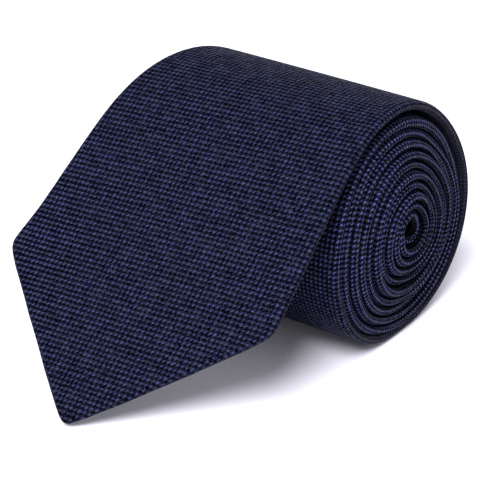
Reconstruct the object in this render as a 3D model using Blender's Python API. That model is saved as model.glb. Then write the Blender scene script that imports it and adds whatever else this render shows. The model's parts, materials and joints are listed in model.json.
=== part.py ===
"""Rolled necktie: a folded, lined tie wound up from its tail into a loose roll,
with the wide blade on the outside and its pointed end resting on the table.

Frame: metres, +Z up. X runs along the axis of the roll, from the tapered side
to the flush side. -Y points to the free tip. The origin is under the middle of
the whole object, on the table.
"""
import bpy
import bmesh
import math
from mathutils import Vector

# ------------------------------------------------------------ driving sizes
BLADE_W = 0.085          # wide blade, across its two corners
NECK_W = 0.036           # narrowest width, at the neck band
TAIL_W = 0.050           # tail blade, across its two corners
TIP_LEN = 0.0415         # tip to the line through the corners of the blade
TAIL_TIP_LEN = 0.025     # the same at the tail
SEAM_1 = 0.800           # arc length from the tip: blade to neck band
SEAM_2 = 1.080           # neck band to tail blade
TAPER = 0.190            # length over which the blade draws in towards the neck
TIE_LEN = 1.485          # tip to tip

SHELL_T = 0.00058        # one thickness of the silk shell, with its turned edge
CORE_T = 0.00050         # wool interlining
PLAY = 0.00032           # play between neighbouring layers
FOLD_T = 2 * SHELL_T + CORE_T + 2 * PLAY   # the folded tie: 2.3 mm
PITCH = 0.00315          # radial step of one wrap, loosely wound
SLIT = 0.0018            # gap between the two folded-in edges at the back
HEM = 0.010              # hem round the two pointed ends
CHAMFER = 0.00035        # soft corner of a folded edge
BLUNT = 0.0012           # the folded tip starts this far in from its theoretical point

# roll: a leaning oval, slightly egg-shaped, loose under its outermost wrap
ROLL_A = 0.04265         # long half-axis, mid thickness of the outer wrap
ROLL_B = 0.03375         # short half-axis
ROLL_LEAN = math.radians(147.0)   # direction of the long axis
EGG, EGG_TURN = 0.00107, math.radians(-34.0)   # three-sided part of the oval
ROLL_START = 101.0       # degrees: where the free blade leaves the roll
STEPS = 20               # facets per wrap
LOOSE = 0.0012           # extra room under the outer wrap
LOOSE_FROM, LOOSE_TO = 0.35, 0.95          # wraps over which it closes up
SAG_Y, SAG_Z = -0.0016, -0.0006            # the inner roll leans on the outer wrap
DRIFT_Y, DRIFT_Z = 0.00046, -0.00014       # shift of the centre with each wrap

# free blade: from the roll down to the table
REACH = 0.0983           # tip in front of the roll's axis
TIP_DROOP = math.radians(41.0)             # slope of the blade at its tip
PULL_TIP, PULL_ROLL = 1.94, 0.73       # stiffness of the drape at each end
FREE_STEPS = 16

HINGE_GAP = 0.0003       # between the free and the rolled part of the blade
GAP = 0.0003             # between pieces that touch

# ------------------------------------------------------------ centreline


def smooth(t):
    t = min(1.0, max(0.0, t))
    return t * t * (3 - 2 * t)


def roll_mean(deg):
    """Wraps wound, how far the loose part has closed up, and the mean radius."""
    u = (ROLL_START - deg) / 360.0
    s = smooth((u - LOOSE_FROM) / (LOOSE_TO - LOOSE_FROM))
    return u, s, 0.5 * (ROLL_A + ROLL_B) - PITCH * u - LOOSE * s


def roll_point(deg):
    """Mid thickness of the roll at a winding angle, in (y, z) about its axis."""
    u, s, mean = roll_mean(deg)
    share = mean / (0.5 * (ROLL_A + ROLL_B))      # every wrap keeps the same oval
    half = 0.5 * (ROLL_A - ROLL_B) * share
    mean += EGG * share * math.cos(3 * math.radians(deg) - EGG_TURN)
    ps = math.radians(deg) - ROLL_LEAN
    x, z = (mean + half) * math.cos(ps), (mean - half) * math.sin(ps)
    c, k = math.cos(ROLL_LEAN), math.sin(ROLL_LEAN)
    return Vector((SAG_Y * s + DRIFT_Y * u + x * c - z * k,
                   SAG_Z * s + DRIFT_Z * u + x * k + z * c))


def drape(t, p0, t0, p1, t1):
    """Hermite curve of the free blade."""
    a, b = 2 * t**3 - 3 * t**2 + 1, t**3 - 2 * t**2 + t
    return a * p0 + b * t0 + (1 - a) * p1 + (t**3 - t**2) * t1


def centreline():
    """Stations from the tip inwards: points, and the index where the roll starts."""
    start = roll_point(ROLL_START)
    ahead = roll_point(ROLL_START - 0.5)
    away = (ahead - start).normalized()
    # underside of the roll: the facet at its lowest point lies on the table
    step = 360.0 / STEPS
    low = min(roll_point(ROLL_START - step * k).y for k in range(STEPS))
    table = low - FOLD_T / 2
    tip = Vector((-REACH, table + FOLD_T / 2 * math.cos(TIP_DROOP)
                  - BLUNT * math.sin(TIP_DROOP) + 0.00015))
    chord = (start - tip).length
    t0 = Vector((math.cos(TIP_DROOP), math.sin(TIP_DROOP))) * chord * PULL_TIP
    t1 = away * chord * PULL_ROLL
    pts = [drape(k / FREE_STEPS, tip, t0, start, t1) for k in range(FREE_STEPS)]
    first = len(pts)
    run = 0.0
    for a, b in zip(pts, pts[1:] + [start]):
        run += (b - a).length
    deg, last = ROLL_START, start
    pts.append(start)
    while run < TIE_LEN:
        deg -= step
        nxt = roll_point(deg)
        if roll_mean(deg)[2] < FOLD_T * 0.5 + 0.0012:
            break
        run += (nxt - last).length
        pts.append(nxt)
        last = nxt
    # the two lowest stations of the outer wrap share one height: the rest face
    wrap = range(first + STEPS // 2 - 3, first + STEPS // 2 + 5)
    pair = sorted(wrap, key=lambda i: pts[i].y)[:2]
    z = min(pts[i].y for i in pair)
    for i in pair:
        pts[i].y = z
    lift = FOLD_T / 2 - z
    pts = [Vector((p.x, p.y + lift)) for p in pts]
    return pts, first, sorted(pair)


PTS, FIRST, PAIR = centreline()
ARC = [0.0]
for _a, _b in zip(PTS, PTS[1:]):
    ARC.append(ARC[-1] + (_b - _a).length)
LENGTH = ARC[-1]


def outward(i):
    """Outward normal at station i, stretched so that a layer keeps its thickness."""
    def side(a, b):
        d = (b - a).normalized()
        return Vector((-d.y, d.x))
    n0 = side(PTS[i - 1], PTS[i]) if i > 0 else None
    n1 = side(PTS[i], PTS[i + 1]) if i < len(PTS) - 1 else None
    n0, n1 = n0 or n1, n1 or n0
    n = (n0 + n1).normalized()
    return n / max(0.5, n.dot(n0))


NORMAL = [outward(i) for i in range(len(PTS))]


def along(s):
    """Centreline point and normal at arc length s."""
    s = min(max(s, 0.0), LENGTH)
    i = max(k for k in range(len(ARC) - 1) if ARC[k] <= s)
    t = (s - ARC[i]) / (ARC[i + 1] - ARC[i])
    return PTS[i].lerp(PTS[i + 1], t), NORMAL[i].lerp(NORMAL[i + 1], t)


# ------------------------------------------------------------ plan of the tie
def edges(s):
    """Left and right edge at arc length s; the right edges lie flush in the roll."""
    right = BLADE_W / 2
    if s < TIP_LEN:
        h = BLADE_W / 2 * s / TIP_LEN
        return -h, h
    if s < SEAM_1:
        # drawn in quickly above the corners, then more and more slowly
        end = math.exp(-(SEAM_1 - TIP_LEN) / TAPER)
        w = NECK_W + (BLADE_W - NECK_W) * (math.exp(-(s - TIP_LEN) / TAPER) - end) / (1 - end)
    elif s < SEAM_2:
        w = NECK_W
    else:
        end = LENGTH - TAIL_TIP_LEN
        w = NECK_W + (TAIL_W - NECK_W) * min(1.0, (s - SEAM_2) / (end - SEAM_2))
        if s > end:
            h = w / 2 * max(0.0, LENGTH - s) / TAIL_TIP_LEN
            return right - w / 2 - h, right - w / 2 + h
    return right - w, right


def window(s):
    """Half width of the opening between the folded-in edges at the back."""
    lo, hi = edges(s)
    hem = HEM * (math.sqrt(2) if s < TIP_LEN or s > LENGTH - TAIL_TIP_LEN else 1)
    front = (BLADE_W / 2 - HEM) * (0.170 - s) / (0.170 - TIP_LEN)
    back = (TAIL_W / 2 - HEM) * (s - (LENGTH - 0.110)) / (0.110 - TAIL_TIP_LEN)
    g = max(front, back)
    return max(SLIT / 2, min(g, (hi - lo) / 2 - hem))


def middle(s):
    lo, hi = edges(s)
    return 0.5 * (lo + hi)


# ------------------------------------------------------------ solids
def material(name, rgb, rough, sheen=0.0):
    m = bpy.data.materials.new(name)
    m.use_nodes = True
    p = m.node_tree.nodes["Principled BSDF"]
    p.inputs["Base Color"].default_value = (*rgb, 1.0)
    p.inputs["Roughness"].default_value = rough
    p.inputs["Metallic"].default_value = 0.0
    p.inputs["Sheen Weight"].default_value = sheen
    return m


RECT_CAP = [(0, 1, 2, 3)]
SHELL_CAP = [(0, 1, 14, 15), (1, 2, 14), (2, 3, 13, 14), (3, 4, 13), (4, 5, 12, 13),
             (5, 6, 12), (6, 7, 11, 12), (7, 8, 11), (8, 9, 10, 11)]
KEEPER_CAP = [(k, k + 1, 10 - k, 11 - k) for k in range(5)]


def sweep(name, arcs, section, mat, origin=(0.0, 0.0), cap=RECT_CAP):
    """Closed solid swept along the tie: section(s) gives points (x, offset).

    The two end faces are laid out as the quads listed in cap."""
    bm = bmesh.new()
    rings = []
    for s in arcs:
        p, n = along(s)
        rings.append([bm.verts.new((x, p.x + n.x * o - origin[0],
                                    p.y + n.y * o - origin[1]))
                      for x, o in section(s)])
    for r0, r1 in zip(rings, rings[1:]):
        for k in range(len(r0)):
            j = (k + 1) % len(r0)
            bm.faces.new((r0[k], r0[j], r1[j], r1[k]))
    for quad in cap:
        bm.faces.new([rings[0][k] for k in reversed(quad)])
        bm.faces.new([rings[-1][k] for k in quad])
    bmesh.ops.triangulate(bm, faces=bm.faces[:])
    bmesh.ops.recalc_face_normals(bm, faces=bm.faces[:])
    if bm.calc_volume(signed=True) < 0:
        bmesh.ops.reverse_faces(bm, faces=bm.faces[:])
    me = bpy.data.meshes.new(name)
    bm.to_mesh(me)
    bm.free()
    me.materials.append(mat)
    ob = bpy.data.objects.new(name, me)
    ob.location = (0.0, origin[0], origin[1])
    bpy.context.scene.collection.objects.link(ob)
    return ob


def spans(s0, s1):
    """Stations between two arc lengths, with the ends and the corners of the blades."""
    corners = [s for s in (TIP_LEN, LENGTH - TAIL_TIP_LEN) if s0 < s < s1]
    keep = [s for s in ARC if s0 + 0.0008 < s < s1 - 0.0008
            and all(abs(s - c) > 0.0008 for c in corners)]
    return [s0] + sorted(keep + corners) + [s1]


def shell_section(s):
    """Folded shell: front sheet, two turned edges and two flaps at the back."""
    lo, hi = edges(s)
    mid, g = middle(s), window(s)
    h, t, c = FOLD_T / 2, SHELL_T, CHAMFER
    c = min(c, (hi - lo) / 8)
    t_side = min(t, (hi - lo) / 6)
    g = min(g, (hi - lo) / 2 - t_side - 0.0002)
    return [(mid - g, -h), (lo + c, -h), (lo, -h + c), (lo, h - c), (lo + c, h),
            (hi - c, h), (hi, h - c), (hi, -h + c), (hi - c, -h), (mid + g, -h),
            (mid + g, -h + t), (hi - t_side, -h + t), (hi - t_side, h - t),
            (lo + t_side, h - t), (lo + t_side, -h + t), (mid - g, -h + t)]


def core_section(s):
    lo, hi = edges(s)
    e = SHELL_T + GAP + 0.0005
    return [(lo + e, -CORE_T / 2), (hi - e, -CORE_T / 2),
            (hi - e, CORE_T / 2), (lo + e, CORE_T / 2)]


def tipping_section(s):
    mid, g = middle(s), window(s) - GAP - 0.0002
    h = FOLD_T / 2
    return [(mid - g, -h), (mid + g, -h), (mid + g, -h + SHELL_T),
            (mid - g, -h + SHELL_T)]


def thread_section(s):
    """Slip stitch, lying in the slit between the folded edges."""
    mid, r, o = middle(s), 0.00035, -FOLD_T / 2 + SHELL_T / 2
    return [(mid - r, o - 0.0002), (mid + r, o - 0.0002),
            (mid + r, o + 0.0002), (mid - r, o + 0.0002)]


def tack_section(s):
    mid, w = middle(s), 0.0045
    top = -FOLD_T / 2 - GAP
    return [(mid - w, top - 0.0006), (mid + w, top - 0.0006),
            (mid + w, top), (mid - w, top)]


def tail_tack_section(s):
    """Short bar of thread across the slit, level with the folded edges."""
    mid, w, o = middle(s), SLIT / 2 - GAP, -FOLD_T / 2 + SHELL_T / 2
    return [(mid - w, o - 0.0003), (mid + w, o - 0.0003),
            (mid + w, o + 0.0003), (mid - w, o + 0.0003)]


def keeper_section(s):
    """Loop across the back: sewn down at both ends, free in the middle."""
    mid, w, f, t = middle(s), 0.027, 0.006, 0.00045
    a = -FOLD_T / 2 - GAP
    b = a - 0.00040
    return [(mid - w, a - t), (mid - w + f, a - t), (mid - w + f + 0.002, b - t),
            (mid + w - f - 0.002, b - t), (mid + w - f, a - t), (mid + w, a - t),
            (mid + w, a), (mid + w - f, a), (mid + w - f - 0.002, b),
            (mid - w + f + 0.002, b), (mid - w + f, a), (mid - w, a)]


def label_section(s):
    mid, w, t = middle(s), 0.011, 0.00030
    a = -FOLD_T / 2 - GAP
    return [(mid - w, a - t), (mid + w, a - t), (mid + w, a), (mid - w, a)]


# ------------------------------------------------------------ assembly
def build():
    for ob in list(bpy.data.objects):
        bpy.data.objects.remove(ob, do_unlink=True)

    navy = (0.026, 0.032, 0.105)
    silk = material("navy_silk", navy, 0.55, 0.3)
    silk_neck = material("navy_silk_neck", navy, 0.55, 0.3)
    silk_tail = material("navy_silk_tail", navy, 0.55, 0.3)
    wool = material("cream_interlining", (0.62, 0.58, 0.50), 0.9)
    lining = material("navy_lining", (0.018, 0.020, 0.060), 0.45)
    thread = material("navy_thread", (0.02, 0.022, 0.07), 0.6)
    tape = material("label_tape", (0.03, 0.03, 0.05), 0.6)

    s_cut = ARC[FIRST]
    hinge_p, hinge_n = along(s_cut)
    hinge = (hinge_p.x + hinge_n.x * FOLD_T / 2, hinge_p.y + hinge_n.y * FOLD_T / 2)
    g2 = HINGE_GAP / 2
    seam = GAP / 2 + 0.00005
    near = lambda s: min(ARC, key=lambda a: abs(a - s))
    s1, s2 = near(SEAM_1), near(SEAM_2)
    end = LENGTH - 0.0030

    # the free part of the blade turns about the hinge line, so it hangs on an
    # empty there; its meshes are measured from that line
    pivot = bpy.data.objects.new("blade_hinge", None)
    pivot.location = (0.0, hinge[0], hinge[1])
    bpy.context.scene.collection.objects.link(pivot)

    free = [
        sweep("front_blade_free", spans(BLUNT, s_cut - g2), shell_section, silk, hinge,
              SHELL_CAP),
        sweep("front_interlining_free", spans(0.0060, s_cut - g2), core_section, wool, hinge),
        sweep("front_tipping", spans(0.0180, s_cut - 0.0040), tipping_section, lining, hinge),
    ]
    for ob in free:
        ob.location = (0.0, 0.0, 0.0)
        ob.parent = pivot

    sweep("front_blade_rolled", spans(s_cut + g2, s1 - seam), shell_section, silk, cap=SHELL_CAP)
    sweep("front_interlining_rolled", spans(s_cut + g2, s1 - seam), core_section, wool)
    sweep("neck_band", spans(s1 + seam, s2 - seam), shell_section, silk_neck, cap=SHELL_CAP)
    sweep("tail_blade", spans(s2 + seam, end), shell_section, silk_tail, cap=SHELL_CAP)
    sweep("tail_interlining", spans(s1 + seam, end - 0.003), core_section, wool)
    sweep("tail_tipping", spans(LENGTH - 0.060, end - 0.012), tipping_section, lining)
    sweep("slip_stitch", spans(0.1800, LENGTH - 0.1145), thread_section, thread)
    sweep("tail_bar_tack", spans(LENGTH - 0.1140, LENGTH - 0.1128), tail_tack_section, thread)
    sweep("front_bar_tack", spans(0.1705, 0.1717), tack_section, thread)
    sweep("keeper_loop", spans(0.1780, 0.1950), keeper_section, silk, cap=KEEPER_CAP)
    sweep("blank_label", spans(0.1990, 0.2110), label_section, tape)
    return hinge


HINGE = build()
# centre the object on the origin, front to back
_ys = [(o.matrix_world @ v.co).y for o in bpy.data.objects if o.type == 'MESH'
       for v in o.data.vertices]
bpy.context.view_layer.update()
_ys = [(o.matrix_world @ v.co).y for o in bpy.data.objects if o.type == 'MESH'
       for v in o.data.vertices]
SHIFT = -(min(_ys) + max(_ys)) / 2
for _o in bpy.data.objects:
    if _o.parent is None:
        _o.location.y += SHIFT
bpy.context.view_layer.update()
print("length", round(LENGTH, 4), "wraps", round((len(PTS) - FIRST - 1) / STEPS, 2),
      "hinge", [round(v, 6) for v in (HINGE[0] + SHIFT, HINGE[1])], "shift", round(SHIFT, 5),
      "rest", [round(PTS[i].x + SHIFT, 5) for i in PAIR])
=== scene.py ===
"""Looks of the rolled necktie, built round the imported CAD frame."""
import bpy
import json
import math
import numpy as np
from mathutils import Matrix, Vector


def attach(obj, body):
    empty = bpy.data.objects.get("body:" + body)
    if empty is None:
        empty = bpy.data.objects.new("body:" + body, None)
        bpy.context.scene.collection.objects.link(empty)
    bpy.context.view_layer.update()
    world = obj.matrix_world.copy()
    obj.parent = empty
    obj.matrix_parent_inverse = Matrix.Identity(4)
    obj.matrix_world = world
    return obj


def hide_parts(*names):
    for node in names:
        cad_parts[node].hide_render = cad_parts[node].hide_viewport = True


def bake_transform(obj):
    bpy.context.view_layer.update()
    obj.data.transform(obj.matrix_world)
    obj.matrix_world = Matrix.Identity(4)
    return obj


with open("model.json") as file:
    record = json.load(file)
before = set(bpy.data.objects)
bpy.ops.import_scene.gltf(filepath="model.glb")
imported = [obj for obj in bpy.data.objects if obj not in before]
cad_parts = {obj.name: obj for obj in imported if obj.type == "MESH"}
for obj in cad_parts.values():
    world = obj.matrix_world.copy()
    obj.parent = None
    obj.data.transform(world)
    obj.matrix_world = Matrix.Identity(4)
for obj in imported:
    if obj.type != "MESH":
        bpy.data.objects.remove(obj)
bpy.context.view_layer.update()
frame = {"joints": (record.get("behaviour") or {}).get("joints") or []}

JOINT = frame["joints"][0]["pos_m"]

# ------------------------------------------------------------------ sizes
# the same design sizes as the CAD part, in metres
BLADE_W, NECK_W, TAIL_W = 0.085, 0.036, 0.050
TIP_LEN, TAIL_TIP_LEN = 0.0415, 0.025
SEAM_1, SEAM_2, TAPER = 0.800, 1.080, 0.190
TIE_LEN = 1.485
FOLD_T, PITCH = 0.0023, 0.00315
SLIT, HEM, BLUNT = 0.0018, 0.010, 0.0012
ROLL_A, ROLL_B, ROLL_LEAN = 0.04265, 0.03375, math.radians(147.0)
EGG, EGG_TURN = 0.00107, math.radians(-34.0)
ROLL_START, STEPS = 101.0, 20
LOOSE, LOOSE_FROM, LOOSE_TO = 0.0012, 0.35, 0.95
SAG_Y, SAG_Z = -0.0016, -0.0006
DRIFT_Y, DRIFT_Z = 0.00046, -0.00014
REACH, TIP_DROOP = 0.0983, math.radians(41.0)
PULL_TIP, PULL_ROLL = 1.94, 0.73
FREE_STEPS = 16

# the cloth as it looks: springier and rounder than the solids
HALF = 0.00132           # half thickness of the folded tie
CLOTH_T = 0.00055        # one thickness of silk
FOLD_R = 0.0017          # how far in from its edge the fold begins to round off
CREVICE = 0.00006        # half the air between two wraps
TIP_SLOPE = (BLADE_W / 2) / TIP_LEN
ROUND = 0.0020           # rounding of the turned point
CURL = 0.00105           # mean radius at which the tail's end curls up in the core
SLANT = 0.78             # the core is pushed out: the tail's point leans to the flush end


def smooth(t):
    t = np.clip(t, 0.0, 1.0)
    return t * t * (3 - 2 * t)


# ------------------------------------------------------------------ path
def roll_at(deg):
    """(y, z) of the roll's mid line about its axis, at winding angles deg."""
    deg = np.asarray(deg, float)
    u = (ROLL_START - deg) / 360.0
    s = smooth((u - LOOSE_FROM) / (LOOSE_TO - LOOSE_FROM))
    m0 = 0.5 * (ROLL_A + ROLL_B)
    mean = m0 - PITCH * u - LOOSE * s
    share = mean / m0
    half = 0.5 * (ROLL_A - ROLL_B) * share
    mean = mean + EGG * share * np.cos(3 * np.radians(deg) - EGG_TURN)
    ps = np.radians(deg) - ROLL_LEAN
    x, z = (mean + half) * np.cos(ps), (mean - half) * np.sin(ps)
    c, k = math.cos(ROLL_LEAN), math.sin(ROLL_LEAN)
    return np.stack([SAG_Y * s + DRIFT_Y * u + x * c - z * k,
                     SAG_Z * s + DRIFT_Z * u + x * k + z * c], -1), m0 - PITCH * u - LOOSE * s


STEP = 360.0 / STEPS
_start = roll_at(ROLL_START)[0]
_away = roll_at(ROLL_START - 0.5)[0] - _start
_away = _away / np.hypot(*_away)
_low = min(float(roll_at(ROLL_START - STEP * k)[0][1]) for k in range(STEPS))
_tip = np.array([-REACH, _low - FOLD_T / 2 + FOLD_T / 2 * math.cos(TIP_DROOP)
                 - BLUNT * math.sin(TIP_DROOP) + 0.00015])
_chord = float(np.hypot(*(_start - _tip)))
_t0 = np.array([math.cos(TIP_DROOP), math.sin(TIP_DROOP)]) * _chord * PULL_TIP
_t1 = _away * _chord * PULL_ROLL
LIFT = FOLD_T / 2 - _low


def path_raw(tau):
    """Mid line at station numbers tau: drape from the tip, then the roll."""
    tau = np.atleast_1d(np.asarray(tau, float))
    t = np.clip(tau / FREE_STEPS, 0, 1)[:, None]
    a, b = 2 * t**3 - 3 * t**2 + 1, t**3 - 2 * t**2 + t
    free = a * _tip + b * _t0 + (1 - a) * _start + (t**3 - t**2) * _t1
    roll = roll_at(ROLL_START - STEP * np.maximum(tau - FREE_STEPS, 0))[0]
    return np.where((tau < FREE_STEPS)[:, None], free, roll)


# arc length at the CAD's stations
_n, _run, _last = FREE_STEPS, 0.0, None
_p = path_raw(np.arange(0, 400))
ARC = [0.0]
for _i in range(1, 400):
    _u, _deg = (_i - FREE_STEPS) / STEPS, ROLL_START - STEP * (_i - FREE_STEPS)
    if _i > FREE_STEPS and roll_at(_deg)[1] < CURL:
        break
    ARC.append(ARC[-1] + float(np.hypot(*(_p[_i] - _p[_i - 1]))))
ARC = np.array(ARC)
LENGTH = float(ARC[-1])
N_ST = len(ARC) - 1
S_CUT = float(ARC[FREE_STEPS])


def tau_of(s):
    return np.interp(s, ARC, np.arange(len(ARC)))


def arc_of(tau):
    return np.interp(tau, np.arange(len(ARC)), ARC)


def waver(v, seed, *waves):
    """Sum of a few slow waves, the same at every run."""
    out = np.zeros_like(np.asarray(v, float))
    for k, (length, size) in enumerate(waves):
        out += size * np.sin(2 * np.pi * np.asarray(v) / length + seed * (1.7 + k) + 2.4 * k)
    return out


def path(tau):
    """Points (y, z) and outward normals in the row frame."""
    tau = np.atleast_1d(np.asarray(tau, float))

    def point(q):
        p = path_raw(q)
        y, z = p[:, 0], p[:, 1] + LIFT
        s = arc_of(q)
        # pressed flat where the outer wrap lies on the table
        wrap = smooth((q - FREE_STEPS - 4) / 3) * (1 - smooth((q - FREE_STEPS - 15) / 2))
        floor = 0.5 * (z + HALF + np.sqrt((z - HALF) ** 2 + 0.0007 ** 2)) + 0.0
        z = z + wrap * (floor - z)
        # small unevenness of hand winding, the same direction in neighbouring wraps
        ang = np.radians(STEP) * (q - FREE_STEPS)
        inner = smooth((q - FREE_STEPS - 22) / 20)
        dy = inner * (0.00016 * np.sin(2 * ang + 0.09 * q) + 0.00010 * np.sin(3 * ang + 1.1))
        dz = inner * (0.00014 * np.cos(2 * ang + 1.9 - 0.06 * q) + 0.00010 * np.sin(4 * ang))
        return np.stack([y + dy, z + dz], -1)

    p, e = point(tau), 0.02
    d = point(np.minimum(tau + e, N_ST)) - point(np.maximum(tau - e, 0))
    d /= np.hypot(d[:, 0], d[:, 1])[:, None]
    return p, np.stack([-d[:, 1], d[:, 0]], -1)


_hp, _hn = path(FREE_STEPS)
SHIFT = JOINT[1] - float(_hp[0, 0] + _hn[0, 0] * FOLD_T / 2)


# ------------------------------------------------------------------ plan
def smin(a, b, k):
    return 0.5 * (a + b - np.sqrt((a - b) ** 2 + k * k))


def body_width(s):
    end = math.exp(-(SEAM_1 - TIP_LEN) / TAPER)
    front = NECK_W + (BLADE_W - NECK_W) * (np.exp(-(np.maximum(s, 0) - TIP_LEN) / TAPER) - end) / (1 - end)
    fin = LENGTH - TAIL_TIP_LEN
    tail = NECK_W + (TAIL_W - NECK_W) * np.clip((s - SEAM_2) / (fin - SEAM_2), 0, 1)
    return np.where(s < SEAM_1, front, np.where(s < SEAM_2, NECK_W, tail))


def edges(s):
    """Left and right edge: pointed ends with softly rounded corners."""
    s = np.atleast_1d(np.asarray(s, float))
    right = np.full_like(s, BLADE_W / 2)
    # the wraps don't line up perfectly at the flush end
    deep = smooth((s - 0.24) / 0.10)
    right = right + deep * waver(s, 1.3, (0.231, 0.00042), (0.083, 0.00024), (0.047, 0.00014)) \
        + 0.0018 * smooth((s - 0.35) / 0.9)
    w = body_width(s)
    point = TIP_SLOPE * np.sqrt(np.maximum(s * s - ROUND ** 2, 1e-9))
    r = smin(point, right, 0.0022)
    # the left edge swings in a little above the corner and out again higher up
    sway = 0.0009 * np.exp(-((s - 0.088) / 0.016) ** 2) - 0.0009 * np.exp(-((s - 0.051) / 0.012) ** 2)
    left = -smin(point, w + sway - right, 0.0030)
    # the tail's own point
    back = LENGTH - 0.0030 + BLUNT - s
    tail_point = (TAIL_W / 2) / TAIL_TIP_LEN * np.sqrt(np.maximum(back * back - BLUNT ** 2, 1e-9))
    mid = BLADE_W / 2 - TAIL_W / 2
    near = s > LENGTH - 0.12
    push = SLANT * (TAIL_W / 2) * smooth(1 - back / (1.25 * TAIL_TIP_LEN)) ** 0.8
    r = np.where(near, smin(mid + push + tail_point, r, 0.0018), r)
    left = np.where(near, -smin(-(mid + push - tail_point), -left, 0.0018), left)
    return left, r


def window(s):
    lo, hi = edges(s)
    hem = HEM * np.where((s < TIP_LEN) | (s > LENGTH - TAIL_TIP_LEN), math.sqrt(2), 1)
    front = (BLADE_W / 2 - HEM) * (0.170 - s) / (0.170 - TIP_LEN)
    back = (TAIL_W / 2 - HEM) * (s - (LENGTH - 0.110)) / (0.110 - TAIL_TIP_LEN)
    g = np.maximum(front, back)
    half = (hi - lo) / 2
    g = np.maximum(SLIT / 2, np.minimum(g, half - hem))
    return np.minimum(g, np.maximum(half * 0.35, half - CLOTH_T * 2.4))


def half_thickness(s):
    """Thinner at the two points, and not quite even along its length."""
    ends = 0.62 + 0.38 * smooth((s - 0.001) / 0.022)
    ends = ends * (0.62 + 0.38 * smooth((LENGTH - 0.003 - s) / 0.020))
    neck = 1 - 0.10 * smooth((s - 0.55) / 0.3)
    return HALF * ends * neck * (1 + 0.05 * waver(s, 0.4, (0.19, 0.6), (0.067, 0.4)))


def room(taus):
    """Half thickness outwards and inwards: the wraps puff up to fill the space they have."""
    taus = np.atleast_1d(np.asarray(taus, float))
    s = arc_of(taus)
    base = half_thickness(s)
    p, n = path(taus)
    inner = path(np.minimum(taus + STEPS, N_ST))[0]
    outer = path(np.maximum(taus - STEPS, 0))[0]
    gap_in = -((inner - p) * n).sum(1)
    gap_out = ((outer - p) * n).sum(1)
    most = 0.00158 + 0.00040 * smooth((s - 0.30) / 0.05)
    fill_in = np.clip(0.5 * gap_in - CREVICE, 0.00105, most) / HALF
    fill_out = np.clip(0.5 * gap_out - CREVICE, 0.00105, most) / HALF
    # room for the keeper and the label behind the blade
    held = smooth((s - 0.160) / 0.012) * (1 - smooth((s - 0.214) / 0.012))
    fill_in = fill_in + held * (np.minimum(fill_in, 0.00108 / HALF) - fill_in)
    facing = smooth((s - 0.375) / 0.02) * (1 - smooth((s - 0.455) / 0.02))
    fill_out = fill_out + facing * (np.minimum(fill_out, 0.00120 / HALF) - fill_out)
    core = smooth((taus - (N_ST - 1.9 * STEPS)) / 8)
    fill_in = fill_in + core * (1.45 - fill_in)
    # the last curl is too tight for a full thickness on its inside
    tight = np.maximum(0.9 * roll_at(ROLL_START - STEP * np.maximum(taus - FREE_STEPS, 0))[1], 0.0005) / HALF
    fill_in = np.where(taus > N_ST - 1.2 * STEPS, np.minimum(fill_in, tight), fill_in)
    on_in = smooth((taus - FREE_STEPS) / 3)
    on_out = smooth((taus - FREE_STEPS - STEPS + 1) / 2)
    h, b = base * (1 + on_out * (fill_out - 1)), base * (1 + on_in * (fill_in - 1))
    # between its folds a wrap also bellies out to meet the next one
    puff = on_out * (1 - facing) * np.clip(gap_out - h - b - 2 * CREVICE, 0, 0.0014)
    return h, b, puff


# ------------------------------------------------------------------ meshes
def make(name, verts, faces, material, attrs=None):
    me = bpy.data.meshes.new(name)
    me.from_pydata([tuple(v) for v in verts], [], faces)
    me.validate()
    for key, value in (attrs or {}).items():
        a = me.attributes.new(key, "FLOAT_VECTOR", "POINT")
        a.data.foreach_set("vector", np.asarray(value, np.float32).ravel())
    me.materials.append(material)
    for p in me.polygons:
        p.use_smooth = True
    me.update()
    ob = bpy.data.objects.new(name, me)
    bpy.context.scene.collection.objects.link(ob)
    return ob


def sweep(name, taus, xs, os, us, edge, material, caps):
    """Closed solid: rings (x, offset) at stations tau. xs, os: [stations, ring]."""
    p, n = path(taus)
    s = arc_of(taus)
    m = xs.shape[1]
    y = p[:, :1] + n[:, :1] * os + SHIFT
    z = p[:, 1:] + n[:, 1:] * os
    co = np.stack([xs, y, z], -1).reshape(-1, 3)
    at = np.stack([us, np.repeat(s[:, None], m, 1), edge], -1).reshape(-1, 3)
    faces = []
    for r in range(len(taus) - 1):
        b0, b1 = r * m, (r + 1) * m
        for k in range(m):
            j = (k + 1) % m
            faces.append((b0 + k, b1 + k, b1 + j, b0 + j))
    last = (len(taus) - 1) * m
    for quad in caps:
        faces.append(tuple(quad))
        faces.append(tuple(last + k for k in reversed(quad)))
    return make(name, co, faces, material, {"cloth": at})


def strip_caps(m):
    """End faces of a ring whose first half runs one way and second half back."""
    h = m // 2
    return [(k, k + 1, m - 2 - k, m - 1 - k) for k in range(h - 1)]


N_FRONT, N_FOLD, N_FLAP = 34, 9, 9


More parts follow.
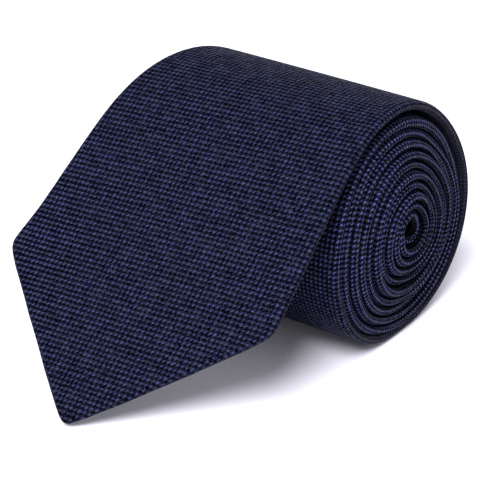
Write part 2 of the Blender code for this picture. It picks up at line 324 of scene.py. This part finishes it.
def shell(name, s0, s1, material, step=0.25):
    """Folded silk: front, two rounded folds, two flaps at the back, real thickness."""
    t0, t1 = float(tau_of(s0)), float(tau_of(s1))
    taus = [t0] + [k * step for k in range(int(t0 / step) + 1, int(math.ceil(t1 / step)))] + [t1]
    if s0 < 0.01:    # extra stations at the rounded point
        extra = tau_of(ROUND + np.array([0.00015, 0.0004, 0.0008, 0.0013, 0.0019, 0.0026, 0.0035, 0.0045]))
        taus = sorted(set(taus) | set(float(v) for v in extra))
    if s0 < TIP_LEN < s1:
        taus = sorted(set(taus) | set(float(v) for v in tau_of(TIP_LEN + np.arange(-5, 6) * 0.0011)))
    if s1 > LENGTH - 0.01:
        taus = sorted(set(taus) | set(float(v) for v in tau_of(s1 - np.array([.0002, .0005, .001, .0017, .0026]))))
    taus = np.array(taus)
    s = arc_of(taus)
    lo, hi = edges(s)
    g, (h, b, puff) = window(s), room(taus)
    mid = 0.5 * (lo + hi)
    half = 0.5 * (hi - lo)
    h = np.minimum(h, np.maximum(0.00055, half * 0.9))
    b = np.minimum(b, np.maximum(0.00055, half * 0.9))
    t = np.minimum(CLOTH_T, h * 0.6)
    rx = np.minimum(FOLD_R, half * 0.6)
    th = np.linspace(-np.pi / 2, np.pi / 2, N_FOLD + 2)[1:-1]
    col = lambda v: v[:, None]
    parts_x, parts_o, parts_u, parts_e = [], [], [], []

    def add(x, o, u, e):
        parts_x.append(x); parts_o.append(o); parts_u.append(u); parts_e.append(e)

    def loop(inset, forward):
        """One side of the cloth from the right of the slit round to its left."""
        hh, bb, r = h - inset, b - inset, rx - inset * 0.9
        right, left = hi - inset, lo + inset
        c = np.pi * 0.5 * (rx + h) / 2        # a quarter of the fold, along the cloth
        seq = []
        f = np.linspace(0, 1, N_FLAP)
        # flap on the right, from the slit outwards
        x = col(mid + g) + col(right - r - mid - g) * f
        sag = 0.00018 * np.sin(np.pi * f)[None, :]
        u = col(hi - rx) + 2 * col(c) + (col(hi - rx) - x)
        seq.append((x, -col(bb) + sag + 0 * x, u, np.ones_like(x)))
        a = th[None, :]
        x = col(right - r) + col(r) * np.cos(a)
        seq.append((x, np.where(a > 0, col(hh), col(bb)) * np.sin(a), col(hi - rx) + col(c) * (1 - a / (np.pi / 2)),
                    0.5 - 0.5 * np.sin(a) + 0 * x))
        q = np.linspace(0, 1, N_FRONT)
        x = col(right - r) + (col(left + r) - col(right - r)) * q
        crown = (0.00010 + col(puff)) * (1 - (2 * q[None, :] - 1) ** 2)
        seq.append((x, col(hh) + crown + 0 * x, x, np.zeros_like(x)))
        a = th[::-1][None, :]
        x = col(left + r) - col(r) * np.cos(a)
        seq.append((x, np.where(a > 0, col(hh), col(bb)) * np.sin(a), col(lo + rx) - col(c) * (1 - a / (np.pi / 2)),
                    0.5 - 0.5 * np.sin(a) + 0 * x))
        x = col(left + r) + col(mid - g - left - r) * f
        u = col(lo + rx) - 2 * col(c) - (x - col(lo + rx))
        seq.append((x, -col(bb) + sag + 0 * x, u, np.ones_like(x)))
        out = [np.concatenate([v[k] for v in seq], 1) for k in range(4)]
        if not forward:
            out = [v[:, ::-1] for v in out]
        return out

    outer, inner = loop(0.0 * t, True), loop(t, False)
    X, O, U, E = [np.concatenate([a, b], 1) for a, b in zip(outer, inner)]
    m = X.shape[1]
    caps = strip_caps(m)
    return sweep(name, taus, X, O, U, E, material, caps)


def slab(name, s0, s1, left, right, off, thick, material, step=0.25, nx=14, bulge=None, round_=0.35):
    """Thin closed layer between two edges given as functions of arc length."""
    t0, t1 = float(tau_of(s0)), float(tau_of(s1))
    n = max(6, int((t1 - t0) / step) + 1)
    taus = np.linspace(t0, t1, n)
    s = arc_of(taus)
    lo, hi = left(s), right(s)
    f = np.linspace(0, 1, nx)
    x = lo[:, None] + (hi - lo)[:, None] * f
    o = off(s)[:, None] + 0 * x
    if bulge is not None:
        o = o + bulge(s[:, None], f[None, :])
    e = thick * round_
    xt = np.concatenate([x[:, ::-1], x], 1)
    # soft long edges: the last points of each side draw in
    inset = np.zeros(nx); inset[0] = inset[-1] = 1.0
    ot = np.concatenate([(o + thick / 2 - e * inset)[:, ::-1], o - thick / 2 + e * inset], 1)
    ends = np.ones(n); ends[0] = ends[-1] = 0.45
    mid_o = np.concatenate([o[:, ::-1], o], 1)
    ot = mid_o + (ot - mid_o) * ends[:, None]
    m = 2 * nx
    return sweep(name, taus, xt, ot, xt.copy(), np.zeros_like(xt), material, strip_caps(m))


# ------------------------------------------------------------------ nodes
class Nodes:
    """Short names for building shader maths."""

    def __init__(self, mat):
        mat.use_nodes = True
        self.t = mat.node_tree
        self.t.nodes.clear()

    def new(self, kind, **props):
        n = self.t.nodes.new(kind)
        for k, v in props.items():
            setattr(n, k, v)
        return n

    def put(self, socket, value):
        if isinstance(value, bpy.types.NodeSocket):
            self.t.links.new(value, socket)
        else:
            socket.default_value = value

    def m(self, op, a, b=None, c=None, clamp=False):
        n = self.new("ShaderNodeMath", operation=op, use_clamp=clamp)
        for k, v in enumerate((a, b, c)):
            if v is not None:
                self.put(n.inputs[k], v)
        return n.outputs[0]

    def step(self, v, lo, hi, a=0.0, b=1.0):
        n = self.new("ShaderNodeMapRange", interpolation_type="SMOOTHSTEP")
        self.put(n.inputs["Value"], v)
        n.inputs["From Min"].default_value, n.inputs["From Max"].default_value = lo, hi
        self.put(n.inputs["To Min"], a)
        self.put(n.inputs["To Max"], b)
        return n.outputs["Result"]

    def mix(self, f, a, b):
        n = self.new("ShaderNodeMix", data_type="RGBA")
        self.put(n.inputs["Factor"], f)
        self.put(n.inputs[6], a)
        self.put(n.inputs[7], b)
        return n.outputs[2]

    def scale(self, c, f):
        n = self.new("ShaderNodeMix", data_type="RGBA", blend_type="MULTIPLY")
        n.inputs["Factor"].default_value = 1.0
        self.put(n.inputs[6], c)
        k = self.new("ShaderNodeCombineColor")
        for i in range(3):
            self.put(k.inputs[i], f)
        self.put(n.inputs[7], k.outputs[0])
        return n.outputs[2]

    def vec(self, x, y, z=0.0):
        n = self.new("ShaderNodeCombineXYZ")
        self.put(n.inputs[0], x); self.put(n.inputs[1], y); self.put(n.inputs[2], z)
        return n.outputs[0]

    def attr(self, name):
        a = self.new("ShaderNodeAttribute", attribute_name=name)
        s = self.new("ShaderNodeSeparateXYZ")
        self.t.links.new(a.outputs["Vector"], s.inputs[0])
        return s.outputs[0], s.outputs[1], s.outputs[2]

    def white(self, v):
        n = self.new("ShaderNodeTexWhiteNoise", noise_dimensions="3D")
        self.put(n.inputs["Vector"], v)
        return n.outputs["Value"]

    def noise(self, v, scale, detail=2.0, rough=0.5):
        n = self.new("ShaderNodeTexNoise", noise_dimensions="3D")
        self.put(n.inputs["Vector"], v)
        n.inputs["Scale"].default_value = scale
        n.inputs["Detail"].default_value = detail
        n.inputs["Roughness"].default_value = rough
        return n.outputs["Fac"]

    def cloth(self, colour, rough, height, depth, sheen=0.3, sheen_tint=(1, 1, 1, 1), spec=0.3,
              sheen_rough=0.45, aniso=0.0):
        b = self.new("ShaderNodeBump")
        b.inputs["Strength"].default_value = 1.0
        b.inputs["Distance"].default_value = depth
        self.put(b.inputs["Height"], height)
        p = self.new("ShaderNodeBsdfPrincipled")
        self.put(p.inputs["Base Color"], colour)
        self.put(p.inputs["Roughness"], rough)
        p.inputs["Metallic"].default_value = 0.0
        self.put(p.inputs["Specular IOR Level"], spec)
        p.inputs["Sheen Weight"].default_value = sheen
        p.inputs["Sheen Roughness"].default_value = sheen_rough
        p.inputs["Sheen Tint"].default_value = sheen_tint
        p.inputs["Anisotropic"].default_value = aniso
        self.t.links.new(b.outputs[0], p.inputs["Normal"])
        o = self.new("ShaderNodeOutputMaterial")
        self.t.links.new(p.outputs[0], o.inputs["Surface"])


DOT_U, DOT_V = 0.00135, 0.00146      # spacing of the weave's dots, across and along
TURN = math.radians(-1.2)
SKEW = -0.079                        # the rows run a little askew to the length
# each repeat holds a raised float and the pit where the yarn dips under, both slanted soft spots:
# height, half-length and half-width in repeats, lean in degrees, place across and along
THREADS = ((0.072, 0.20, 0.11, -42, 0.0, 0.0), (-0.034, 0.16, 0.10, -42, 0.42, 0.42))


def weave_waves():
    """The waves (times along, times across, strength, phase) that add up to a grid of those spots."""
    waves = []
    for i in range(3):
        for j in range(-2, 3):
            if i == 0 and j <= 0:
                continue
            total = 0j
            for height, long, wide, lean, at_p, at_q in THREADS:
                c, k = math.cos(math.radians(lean)), math.sin(math.radians(lean))
                spread = (long * (j * c + i * k)) ** 2 + (wide * (i * c - j * k)) ** 2
                turn = 2 * math.pi * (j * at_p + i * at_q)
                total += height * math.exp(-2 * math.pi ** 2 * spread) * complex(math.cos(turn), -math.sin(turn))
            if abs(total) > 0.003:
                waves.append((i, j, abs(total), math.atan2(total.imag, total.real)))
    return waves


LEVEL, GRAIN, CRUMB = 0.128, 0.20, 0.27
ALBEDO = (0.375, 0.395, 0.45)


def silk_material(name, shade=1.0):
    """Navy garza weave: rows of raised blue floats over near-black ground with dull flecks."""
    mat = bpy.data.materials.new(name)
    n = Nodes(mat)
    u, v, edge = n.attr("cloth")
    c, k = math.cos(TURN), math.sin(TURN)
    # hand-made cloth: the rows wander a little
    wob = n.noise(n.vec(u, v), 45.0, 1.0)
    wob = n.m("MULTIPLY", n.m("SUBTRACT", wob, 0.5), 0.00055)
    p = n.m("MULTIPLY", n.m("ADD", n.m("ADD", n.m("MULTIPLY", u, c), n.m("MULTIPLY", v, k)), wob), 1 / DOT_U)
    q = n.m("MULTIPLY", n.m("ADD", n.m("SUBTRACT", n.m("MULTIPLY", v, c), n.m("MULTIPLY", u, k)), wob), 1 / DOT_V)
    q = n.m("ADD", q, n.m("MULTIPLY", p, SKEW))
    cell_p = n.m("FLOOR", n.m("ADD", p, 0.5))
    cell_q = n.m("FLOOR", n.m("ADD", q, 0.5))
    r1 = n.white(n.vec(cell_p, cell_q, 0.3))
    r2 = n.white(n.vec(cell_p, cell_q, 7.7))
    r3 = n.white(n.vec(n.m("FLOOR", p), n.m("FLOOR", q), 3.1))
    across, along = n.m("MULTIPLY", p, 2 * math.pi), n.m("MULTIPLY", q, -2 * math.pi)
    # towards the left edge of the blade the rows stand out more than the columns
    rows = n.m("MULTIPLY", n.step(n.m("MULTIPLY", u, -1.0), 0.004, 0.034), n.m("SUBTRACT", 1.0, n.step(v, 0.045, 0.085)))
    # one repeat of the weave: a slanted float with its dark bindings, built up from waves
    light = None
    for i, j, size, turn in weave_waves():
        angle = n.m("ADD", n.m("ADD", n.m("MULTIPLY", along, float(i)), n.m("MULTIPLY", across, float(j))), turn)
        wave = n.m("MULTIPLY", n.m("COSINE", angle), size)
        if (i, j) == (1, 0):
            wave = n.m("MULTIPLY", wave, n.m("ADD", 1.0, n.m("MULTIPLY", rows, 0.45)))
        light = wave if light is None else n.m("ADD", light, wave)
    # uneven yarn: each float differs, and single filaments glint or sink
    grain = n.noise(n.vec(p, q, 2.0), 2.6, 1.0)
    crumb = n.noise(n.vec(p, q, 9.0), 4.6, 0.0)
    rough_yarn = n.m("ADD", n.m("MULTIPLY", n.m("SUBTRACT", grain, 0.5), GRAIN),
                     n.m("ADD", n.m("MULTIPLY", n.m("SUBTRACT", crumb, 0.5), CRUMB), n.m("MULTIPLY", n.m("SUBTRACT", r1, 0.5), 0.055)))
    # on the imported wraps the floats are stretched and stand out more
    light = n.m("MULTIPLY", light, n.m("ADD", 1.0, n.m("MULTIPLY", n.step(v, 0.27, 0.31), 0.45)))
    level = n.m("MAXIMUM", n.m("ADD", n.m("ADD", LEVEL, light), rough_yarn), 0.010)
    base = n.m("DIVIDE", n.m("SUBTRACT", level, LEVEL), 0.075)
    dot = n.step(base, -0.4, 1.1)
    hole = n.step(n.m("MULTIPLY", base, -1.0), 0.15, 1.1)
    yarn = n.m("SINE", n.m("MULTIPLY", n.m("ADD", n.m("MULTIPLY", r1, 0.5),
                                                n.m("ADD", n.m("MULTIPLY", p, 2.0), n.m("MULTIPLY", q, 0.9))), 2 * math.pi))
    yarn2 = n.m("SINE", n.m("MULTIPLY", q, 2 * math.pi * 6))
    gap = n.step(n.m("MULTIPLY", n.m("COSINE", across), -1.0), 0.10, 0.85)
    row = n.step(n.m("COSINE", along), -0.35, 0.75)
    fleck = n.m("MULTIPLY", n.m("MULTIPLY", gap, row), n.step(r3, 0.35, 0.80))
    slow = n.noise(n.vec(u, v), 38.0, 2.0)
    slow = n.m("ADD", 1.0, n.m("MULTIPLY", n.m("SUBTRACT", slow, 0.5), 0.12))
    # navy silk: the dark stays blue, the glints turn paler
    k = n.new("ShaderNodeCombineColor")
    for ch, (gain, floor_) in enumerate(((0.87, 0.000), (0.955, 0.001), (1.46, 0.019))):
        shown = n.m("ADD", n.m("MULTIPLY", level, gain), floor_ + 0.055)
        n.put(k.inputs[ch], n.m("MULTIPLY", n.m("POWER", n.m("DIVIDE", shown, 1.055), 2.4), ALBEDO[ch]))
    col = k.outputs[0]
    dull = (0.0270, 0.0190, 0.0150, 1)
    col = n.mix(n.m("MULTIPLY", fleck, 0.55), col, dull)
    tone = n.m("MULTIPLY", slow, n.m("ADD", 1.0, n.m("MULTIPLY", yarn, 0.10)))
    tone = n.m("MULTIPLY", tone, n.m("ADD", 0.93, n.m("MULTIPLY", r2, 0.14)))
    tone = n.m("MULTIPLY", tone, shade)
    col = n.scale(col, tone)
    # painted shade: round the outermost fold, its turned-under side and the back are mixed towards a dull dark colour,
    # a little less over the raised floats;
    # on the imported wraps a painted highlight lightens the fold's crest and painted shade darkens its far side
    inner = n.step(v, 0.27, 0.31)
    painted_underside_shade = n.m("MULTIPLY", n.step(edge, 0.18, 0.60), n.m("SUBTRACT", 0.80, n.m("MULTIPLY", dot, 0.35)))
    painted_underside_shade = n.m("MULTIPLY", painted_underside_shade, n.m("SUBTRACT", 1.0, n.m("MULTIPLY", inner, 0.92)))
    col = n.mix(painted_underside_shade, col, (0.0105, 0.0095, 0.0135, 1))
    # painted highlight: the fold's crest on the imported wraps is made lighter
    painted_crest_highlight = n.m("MULTIPLY", n.step(edge, 0.02, 0.30), n.m("SUBTRACT", 1.0, n.step(edge, 0.50, 0.85)))
    painted_crest_highlight = n.m("ADD", 1.0, n.m("MULTIPLY", n.m("MULTIPLY", painted_crest_highlight, inner), 0.55))
    # painted shade: the far side of the fold on the imported wraps is made darker
    painted_far_side_shade = n.m("SUBTRACT", 1.0, n.m("MULTIPLY", n.m("MULTIPLY", n.step(edge, 0.66, 0.98), inner), 0.85))
    col = n.scale(col, n.m("MULTIPLY", painted_crest_highlight, painted_far_side_shade))
    rough = n.m("ADD", 0.50, n.m("MULTIPLY", hole, 0.30))
    gloss = n.m("MULTIPLY", n.m("SUBTRACT", 1.0, hole), n.m("ADD", 0.015, n.m("MULTIPLY", dot, 0.05)))
    height = n.m("ADD", n.m("MULTIPLY", dot, 0.85),
                 n.m("ADD", n.m("MULTIPLY", yarn, 0.07), n.m("MULTIPLY", yarn2, 0.03)))
    height = n.m("ADD", height, n.m("MULTIPLY", r1, 0.10))
    n.cloth(col, rough, height, 0.00013, sheen=0.004, sheen_tint=(0.55, 0.60, 1.0, 1), spec=gloss)
    mat.diffuse_color = (0.02, 0.024, 0.06, 1)
    return mat


def twill_material(name, dark, light, pitch, depth, rough, sheen):
    """Fine diagonal lining."""
    mat = bpy.data.materials.new(name)
    n = Nodes(mat)
    u, v, _ = n.attr("cloth")
    d = n.m("SINE", n.m("MULTIPLY", n.m("ADD", u, n.m("MULTIPLY", v, 1.35)), 2 * math.pi / pitch))
    x = n.m("SINE", n.m("MULTIPLY", n.m("SUBTRACT", n.m("MULTIPLY", u, 1.3), v), 2 * math.pi / (pitch * 0.55)))
    h = n.m("ADD", n.m("MULTIPLY", d, 0.38), n.m("MULTIPLY", x, 0.14))
    slow = n.noise(n.vec(u, v), 60.0, 2.0)
    f = n.step(n.m("ADD", h, n.m("SUBTRACT", slow, 0.5)), -0.55, 0.6)
    n.cloth(n.mix(f, dark, light), rough, h, depth, sheen=sheen, spec=0.07)
    return mat


def wool_material(name):
    """Brushed interlining: felted, undyed, a thread line across."""
    mat = bpy.data.materials.new(name)
    n = Nodes(mat)
    u, v, _ = n.attr("cloth")
    fuzz = n.noise(n.vec(u, v), 2600.0, 3.0, 0.7)
    cloud = n.noise(n.vec(u, v), 120.0, 2.0)
    ribs = n.m("SINE", n.m("MULTIPLY", n.m("ADD", u, v), 2 * math.pi / 0.0011))
    f = n.m("ADD", n.m("MULTIPLY", fuzz, 0.6), n.m("MULTIPLY", cloud, 0.4))
    col = n.mix(n.step(f, 0.3, 0.7), (0.42, 0.38, 0.31, 1), (0.66, 0.61, 0.52, 1))
    h = n.m("ADD", fuzz, n.m("MULTIPLY", ribs, 0.12))
    n.cloth(col, 0.92, h, 0.00018, sheen=0.4, spec=0.1)
    return mat


def thread_material(name, dark, light):
    """Twisted sewing thread."""
    mat = bpy.data.materials.new(name)
    n = Nodes(mat)
    u, v, _ = n.attr("cloth")
    tw = n.m("SINE", n.m("MULTIPLY", n.m("ADD", v, n.m("MULTIPLY", u, 1.0)), 2 * math.pi / 0.00045))
    n.cloth(n.mix(n.step(tw, -0.8, 0.8), dark, light), 0.5, tw, 0.00004, sheen=0.2, spec=0.4)
    return mat


def tape_material(name):
    """Blank woven label: ribbed satin in two dark blues, no lettering."""
    mat = bpy.data.materials.new(name)
    n = Nodes(mat)
    u, v, _ = n.attr("cloth")
    rib = n.m("SINE", n.m("MULTIPLY", v, 2 * math.pi / 0.00036))
    col = n.mix(n.step(rib, -0.9, 0.9), (0.012, 0.013, 0.024, 1), (0.030, 0.032, 0.055, 1))
    n.cloth(col, 0.4, rib, 0.00005, sheen=0.1, spec=0.5)
    return mat


SILK = silk_material("silk_weave")
LINING = twill_material("lining_twill", (0.0040, 0.0046, 0.0150, 1), (0.0105, 0.0120, 0.0360, 1), 0.0006, 0.00004, 0.55, 0.01)
WOOL = wool_material("brushed_wool")
THREAD = thread_material("sewing_thread", (0.010, 0.012, 0.040, 1), (0.040, 0.045, 0.120, 1))
TAPE = tape_material("label_weave")

# ------------------------------------------------------------------ pieces
SPLIT = 0.2285           # hidden at the back of the roll, under the outer wrap's turn
blade = shell("silk_blade", ROUND + 0.00006, SPLIT, SILK)
blade_rolled = shell("silk_blade_rolled", SPLIT, SEAM_1, SILK)
neck = shell("silk_neck_band", SEAM_1, SEAM_2, SILK)
tail = shell("silk_tail", SEAM_2, LENGTH - 0.0030, SILK)


def inside(margin, side):
    def f(s):
        lo, hi = edges(s)
        return (lo + margin) if side < 0 else (hi - margin)
    return f


zero = lambda s: 0.0 * s
wool_free = slab("wool_interlining_blade", 0.0060, SPLIT, inside(0.0016, -1), inside(0.0016, 1), zero, 0.0006, WOOL)
wool_rolled = slab("wool_interlining_rolled", SPLIT, SEAM_1, inside(0.0016, -1), inside(0.0016, 1), zero, 0.0006, WOOL)
wool_tail = slab("wool_interlining_tail", SEAM_1, LENGTH - 0.0075, inside(0.0016, -1), inside(0.0016, 1), zero, 0.0006, WOOL)


def lining_edge(side):
    def f(s):
        lo, hi = edges(s)
        mid = 0.5 * (lo + hi)
        reach = np.minimum(window(s) + 0.0035, (hi - lo) / 2 - 0.0016)
        return mid + side * reach
    return f


lining = slab("tipping_lining_blade", 0.0105, 0.152, lining_edge(-1), lining_edge(1),
              lambda s: -0.00056 + 0 * s, 0.00022, LINING, nx=24,
              bulge=lambda s, f: -0.00006 * np.sin(np.pi * f) * (1 + 0.8 * np.sin(s * 210 + 5 * f)))
lining_tail = slab("tipping_lining_tail", LENGTH - 0.060, LENGTH - 0.0150, lining_edge(-1), lining_edge(1),
                   lambda s: -0.00056 + 0 * s, 0.00020, LINING, nx=14)


def back_of(s):
    return -room(tau_of(s))[1]


# keeper loop: folded silk strip across the back, sewn down at both ends
KEEP_HALF = 0.027


def keeper_mid(s):
    lo, hi = edges(s)
    return 0.5 * (lo + hi)


keeper = slab("keeper_loop_strip", 0.1780, 0.1950,
              lambda s: keeper_mid(s) - KEEP_HALF, lambda s: keeper_mid(s) + KEEP_HALF,
              lambda s: back_of(s) - 0.00042, 0.00055, SILK, step=0.06, nx=40,
              bulge=lambda s, f: -0.00045 * smooth((f - 0.07) / 0.10) * (1 - smooth((f - 0.83) / 0.10))
              + 0.00012 * np.cos(2 * np.pi * (s - 0.1780) / 0.0170))
label = slab("woven_label_blank", 0.1990, 0.2110,
             lambda s: keeper_mid(s) - 0.011, lambda s: keeper_mid(s) + 0.011,
             lambda s: back_of(s) - 0.00028, 0.00030, TAPE, step=0.08, nx=20)


def tube(name, pts, radius, material, sides=8):
    """Closed tube along a list of points, with rounded-off ends."""
    pts = np.array(pts)
    d = np.gradient(pts, axis=0)
    d /= np.linalg.norm(d, axis=1)[:, None]
    ref = np.array([0.0, 0.0, 1.0]) + 0 * d
    flat = np.abs((d * ref).sum(1)) > 0.9
    ref[flat] = (1.0, 0.0, 0.0)
    a = np.cross(d, ref); a /= np.linalg.norm(a, axis=1)[:, None]
    b = np.cross(d, a)
    r = np.full(len(pts), radius); r[0] = r[-1] = radius * 0.35
    ang = np.linspace(0, 2 * np.pi, sides, endpoint=False)
    ring = pts[:, None] + r[:, None, None] * (np.cos(ang)[None, :, None] * a[:, None] + np.sin(ang)[None, :, None] * b[:, None])
    run = np.concatenate([[0], np.cumsum(np.linalg.norm(np.diff(pts, axis=0), axis=1))])
    at = np.stack([np.repeat((ang * radius)[None], len(pts), 0), np.repeat(run[:, None], sides, 1), np.zeros((len(pts), sides))], -1)
    faces = []
    for i in range(len(pts) - 1):
        for k in range(sides):
            j = (k + 1) % sides
            faces.append((i * sides + k, i * sides + j, (i + 1) * sides + j, (i + 1) * sides + k))
    faces.append(tuple(reversed(range(sides))))
    faces.append(tuple((len(pts) - 1) * sides + k for k in range(sides)))
    return make(name, ring.reshape(-1, 3), faces, material, {"cloth": at.reshape(-1, 3)})


def on_back(s, x, lift):
    """Point on the back of the tie, lift outside the flaps."""
    p, n = path(tau_of(s))
    o = (back_of(s) - lift)[:, None]
    return np.stack([x, p[:, 0] + n[:, 0] * o[:, 0] + SHIFT, p[:, 1] + n[:, 1] * o[:, 0]], -1)


# slip stitch: long slanted stitches that cross the slit and dip into each flap
_s = np.arange(0.1800, LENGTH - 0.1145, 0.0009)
_ph = (_s - 0.18) / 0.0085 * 2 * np.pi
_lo, _hi = edges(_s)
stitch = tube("slip_stitch_thread",
              on_back(_s, 0.5 * (_lo + _hi) + 0.0017 * np.sin(_ph), -0.00022 + 0.00026 * np.cos(2 * _ph)),
              0.00019, THREAD, 6)


def tack(name, s0, s1, half, turns, lift):
    """Bar tack: thread wound closely over itself."""
    t = np.linspace(0, 1, turns * 14)
    lo, hi = edges(np.array([0.5 * (s0 + s1)]))
    mid = float(0.5 * (lo[0] + hi[0]))
    x = mid + half * (2 * t - 1)
    ph = 2 * np.pi * turns * t
    s = 0.5 * (s0 + s1) + 0.5 * (s1 - s0) * np.cos(ph)
    return tube(name, on_back(s, x, lift + 0.00016 * np.sin(ph)), 0.00017, THREAD, 6)


front_tack = tack("bar_tack_blade", 0.1705, 0.1717, 0.0045, 26, 0.00020)
tail_tack = tack("bar_tack_tail", LENGTH - 0.1140, LENGTH - 0.1128, 0.0012, 8, 0.00012)

# ------------------------------------------------------------------ binding
for ob, nodes, slot in (
        (blade, ("front_blade_free", "front_blade_rolled"), "shell_silk"),
        (wool_free, ("front_interlining_free",), "interlining"),
        (lining, ("front_tipping",), "tipping")):
    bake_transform(ob)
    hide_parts(*nodes)
for ob, nodes, slot in (
        (blade_rolled, ("front_blade_rolled",), "shell_silk"),
        (neck, ("neck_band",), "shell_silk"),
        (tail, ("tail_blade",), "shell_silk"),
        (wool_rolled, ("front_interlining_rolled",), "interlining"),
        (wool_tail, ("tail_interlining",), "interlining"),
        (lining_tail, ("tail_tipping",), "tipping"),
        (keeper, ("keeper_loop",), "shell_silk"),
        (label, ("blank_label",), "label"),
        (stitch, ("slip_stitch",), "thread"),
        (front_tack, ("front_bar_tack",), "thread"),
        (tail_tack, ("tail_bar_tack",), "thread")):
    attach(ob, "roll")
    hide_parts(*nodes)


def cut(s0, s1, width):
    """Flat length, greatest width and area of a layer between two arc lengths."""
    s = np.linspace(s0, s1, 400)
    w = width(s)
    return float(w.max()), float(s1 - s0), float(np.trapezoid(w, s) if hasattr(np, "trapezoid") else np.trapz(w, s))


def folded(s):
    """Width of the silk before it is folded: the front and the two flaps."""
    lo, hi = edges(s)
    return 2 * (hi - lo) - 2 * window(s)


def single(margin):
    def f(s):
        lo, hi = edges(s)
        return np.maximum(hi - lo - 2 * margin, 0.001)
    return f


for ob, s0, s1, width, held, on in (
        (blade, ROUND, SPLIT, folded, "folded", ["wool_interlining_blade"]),
        (blade_rolled, SPLIT, SEAM_1, folded, "folded", ["wool_interlining_rolled"]),
        (neck, SEAM_1, SEAM_2, folded, "folded", ["wool_interlining_tail"]),
        (tail, SEAM_2, LENGTH - 0.003, folded, "folded", ["wool_interlining_tail"]),
        (wool_free, 0.006, SPLIT, single(0.0016), "laid", ["silk_blade"]),
        (wool_rolled, SPLIT, SEAM_1, single(0.0016), "laid", ["silk_blade_rolled"]),
        (wool_tail, SEAM_1, LENGTH - 0.0075, single(0.0016), "laid", ["silk_neck_band", "silk_tail"]),
        (lining, 0.0105, 0.152, lambda s: lining_edge(1)(s) - lining_edge(-1)(s), "laid", ["wool_interlining_blade"]),
        (lining_tail, LENGTH - 0.060, LENGTH - 0.0150, lambda s: lining_edge(1)(s) - lining_edge(-1)(s), "laid", ["wool_interlining_tail"]),
        (keeper, 0.1780, 0.1950, lambda s: 2 * KEEP_HALF + 0 * s, "laid", ["silk_blade"]),
        (label, 0.1990, 0.2110, lambda s: 0.022 + 0 * s, "laid", ["silk_blade"])):
    w, l, area = cut(s0, s1, width)
    w, l = max(w, 0.0101), max(l, 0.0101)
    area = min(max(area, 0.301 * w * l), w * l)

# ------------------------------------------------------------------ floor
floor_mat = bpy.data.materials.new("pale_floor")
fn = Nodes(floor_mat)
fp = fn.new("ShaderNodeBsdfPrincipled")
fp.inputs["Base Color"].default_value = (0.87, 0.85, 0.96, 1)
fp.inputs["Roughness"].default_value = 0.95
fp.inputs["Specular IOR Level"].default_value = 0.0
fo = fn.new("ShaderNodeOutputMaterial")
floor_mat.node_tree.links.new(fp.outputs[0], fo.inputs["Surface"])
fm = bpy.data.meshes.new("floor")
R = 4.0
fm.from_pydata([(-R, -R, -0.00005), (R, -R, -0.00005), (R, R, -0.00005), (-R, R, -0.00005)], [], [(0, 1, 2, 3)])
fm.materials.append(floor_mat)
floor = bpy.data.objects.new("floor", fm)
bpy.context.scene.collection.objects.link(floor)

# ------------------------------------------------------------------ light
world = bpy.data.worlds.new("studio")
bpy.context.scene.world = world
world.use_nodes = True
bg = world.node_tree.nodes["Background"]
bg.inputs[0].default_value = (1.0, 1.0, 1.0, 1)
bg.inputs[1].default_value = 0.79


def lamp(name, loc, target, size, power, colour=(1, 1, 1)):
    l = bpy.data.lights.new(name, "AREA")
    l.shape, l.size, l.energy, l.color = "DISK", size, power, colour
    ob = bpy.data.objects.new(name, l)
    ob.location = loc
    d = Vector(target) - Vector(loc)
    ob.rotation_euler = d.to_track_quat("-Z", "Y").to_euler()
    bpy.context.scene.collection.objects.link(ob)
    return ob


lamp("key", (0.26, -0.96, 1.02), (0, 0, 0.03), 0.60, 32.0)

# ------------------------------------------------------------------ camera
AZ, EL, ROLL_CAM, FOCAL = 0.54331, 0.43455, 0.07223, 1755.76
CAM = (0.23294, -0.37469, 0.23370)
cam_data = bpy.data.cameras.new("view")
cam_data.sensor_width = 36.0
cam_data.lens = 36.0 * FOCAL / 480.0
cam_data.clip_start, cam_data.clip_end = 0.01, 50.0
cam = bpy.data.objects.new("view", cam_data)
back = Vector((math.sin(AZ) * math.cos(EL), -math.cos(AZ) * math.cos(EL), math.sin(EL)))
right = Vector((math.cos(AZ), math.sin(AZ), 0))
up = back.cross(right)
cx = right * math.cos(ROLL_CAM) + up * math.sin(ROLL_CAM)
cy = up * math.cos(ROLL_CAM) - right * math.sin(ROLL_CAM)
cam.matrix_world = Matrix.Translation(CAM) @ Matrix((
    (cx.x, cy.x, back.x), (cx.y, cy.y, back.y), (cx.z, cy.z, back.z))).to_4x4()
bpy.context.scene.collection.objects.link(cam)
bpy.context.scene.camera = cam
bpy.context.scene.view_settings.view_transform = "Standard"
